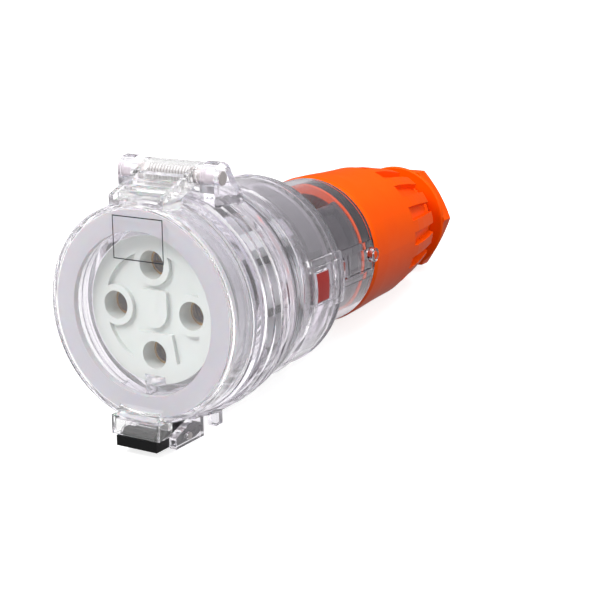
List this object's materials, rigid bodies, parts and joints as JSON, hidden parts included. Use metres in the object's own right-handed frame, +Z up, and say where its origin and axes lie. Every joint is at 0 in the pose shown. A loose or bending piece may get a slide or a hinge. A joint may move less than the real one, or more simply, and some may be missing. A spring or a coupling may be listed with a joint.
{
  "type": "industrial cable coupler",
  "caption": "Straight cable socket for industrial plugs: clear housing and sprung flap, ribbed orange rear cap, hexagonal gland nut.",
  "frame": {"origin": "middle of the underside, on the table, as the coupler lies", "axes": "+Z up, +Y from the flap to the gland nut along the table, +X towards the side with the release tab"},
  "size_m": [0.0952, 0.2456, 0.1115],
  "materials": {
    "clear_shell": "clear moulded polycarbonate",
    "clear_flap": "clear moulded polycarbonate",
    "clear_seal": "frosted translucent silicone",
    "insert_plastic": "off-white thermoset, fine matt",
    "orange_nylon": "satin moulded nylon",
    "grey_nylon": "glass-filled nylon",
    "black_plastic": "moulded acetal",
    "red_plastic": "moulded ABS",
    "brass": "turned",
    "plated_brass": "nickel plated",
    "steel": "zinc plated",
    "black_rubber": "nitrile rubber",
    "washer_plastic": "natural acetal"
  },
  "bodies": {
    "housing": {"front_housing": "clear_shell", "hinge_pin": "steel", "flap_spring": "steel", "latch_pin": "steel", "latch_spring": "steel", "contact_insert": "insert_plastic", "contact_right": "brass", "contact_top": "brass", "contact_left": "brass", "contact_earth": "brass", "terminal_right": "plated_brass", "terminal_top": "plated_brass", "terminal_left": "plated_brass", "terminal_earth": "plated_brass", "terminal_screws": "steel", "insert_screws": "steel", "body_seal": "black_rubber", "rear_housing": "clear_shell", "terminal_carrier": "grey_nylon", "clamp_bar": "grey_nylon", "clamp_screws": "steel"},
    "flap_unit": {"flap": "clear_flap", "flap_gasket": "clear_seal"},
    "latch_unit": {"latch": "black_plastic"},
    "ring_unit": {"coupling_ring": "clear_shell"},
    "tab_unit": {"release_tab": "red_plastic"},
    "cap_unit": {"rear_cap": "orange_nylon", "cap_seal": "black_rubber", "gland_grommet": "black_rubber", "slip_washer": "washer_plastic"},
    "nut_unit": {"gland_nut": "orange_nylon"}
  },
  "joints": [
    {"name": "flap_hinge", "type": "hinge", "parent": "housing", "child": "flap_unit", "pos_m": [0, -0.07772, 0.10508], "axis": [-1, 0, 0], "range_deg": [0, 135], "stiffness_Nm_per_rad": 0.05, "springref_deg": -57.3},
    {"name": "latch_press", "type": "hinge", "parent": "housing", "child": "latch_unit", "pos_m": [0, -0.10514, 0.00406], "axis": [1, 0, 0], "range_deg": [0, 8], "stiffness_Nm_per_rad": 0.05, "springref_deg": -22.92, "deforming": ["latch_spring"]},
    {"name": "ring_turn", "type": "hinge", "parent": "housing", "child": "ring_unit", "pos_m": [0, -0.05775, 0.04956], "axis": [0, 0.9908, -0.1353], "range_deg": [0, 30]},
    {"name": "tab_press", "type": "slide", "parent": "ring_unit", "child": "tab_unit", "axis": [-1, 0, 0], "range_m": [0, 0.0012], "stiffness_N_per_m": 1500},
    {"name": "cap_turn", "type": "hinge", "parent": "housing", "child": "cap_unit", "pos_m": [0, 0.02122, 0.03878], "axis": [0, 0.9908, -0.1353], "range_deg": [0, 90]},
    {"name": "nut_turn", "type": "hinge", "parent": "cap_unit", "child": "nut_unit", "pos_m": [0, 0.10771, 0.02697], "axis": [0, 0.9908, -0.1353], "range_deg": [-180, 180]}
  ]
}
